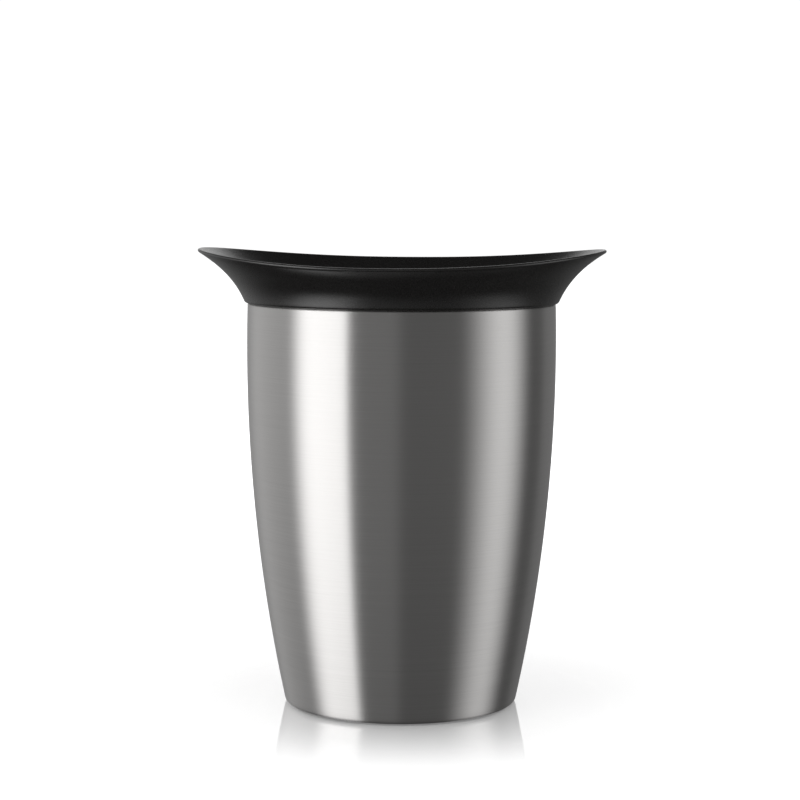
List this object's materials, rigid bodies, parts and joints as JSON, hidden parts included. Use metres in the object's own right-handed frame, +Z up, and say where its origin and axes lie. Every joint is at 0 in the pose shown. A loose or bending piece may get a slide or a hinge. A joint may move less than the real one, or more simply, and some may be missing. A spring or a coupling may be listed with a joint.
{
  "type": "champagne cooler",
  "caption": "Barrel-shaped brushed steel bottle cooler with a flared saddle-shaped black collar, an inner liner and a lift-out gel cooling sleeve.",
  "frame": {"origin": "centre of the base, on the surface that the cooler stands on", "axes": "+Z up along the barrel's axis, +X and -X towards the raised wings of the collar"},
  "size_m": [0.192, 0.165, 0.2156],
  "materials": {
    "steel_brushed": "brushed round the barrel",
    "plastic_black": "fine matte texture",
    "plastic_liner": "satin",
    "rubber_soft": "matte",
    "screw_steel": "plain zinc",
    "sleeve_cloth": "woven nylon",
    "tape_black": "ribbed tape",
    "elastic_black": "ribbed elastic",
    "gel": "soft gel in film"
  },
  "bodies": {
    "cooler": {"outer_shell": "steel_brushed", "flared_collar": "plastic_black", "rim_gasket": "rubber_soft", "inner_liner": "plastic_liner", "liner_seal": "rubber_soft", "base_plate": "plastic_black", "base_screws": "screw_steel", "foot_ring": "rubber_soft", "bottle_pad": "rubber_soft"},
    "cooling_sleeve": {"sleeve_outer_skin": "sleeve_cloth", "sleeve_inner_skin": "sleeve_cloth", "top_binding": "tape_black", "bottom_binding": "tape_black", "elastic_gusset": "elastic_black", "gel_cell_1": "gel", "gel_cell_2": "gel", "gel_cell_3": "gel", "gel_cell_4": "gel", "gel_cell_5": "gel", "gel_cell_6": "gel", "gel_cell_7": "gel", "gel_cell_8": "gel", "gel_cell_9": "gel", "gel_cell_10": "gel"}
  },
  "joints": [
    {"name": "sleeve_lift", "type": "slide", "parent": "cooler", "child": "cooling_sleeve", "axis": [0, 0, 1], "range_m": [0, 0.215]}
  ]
}
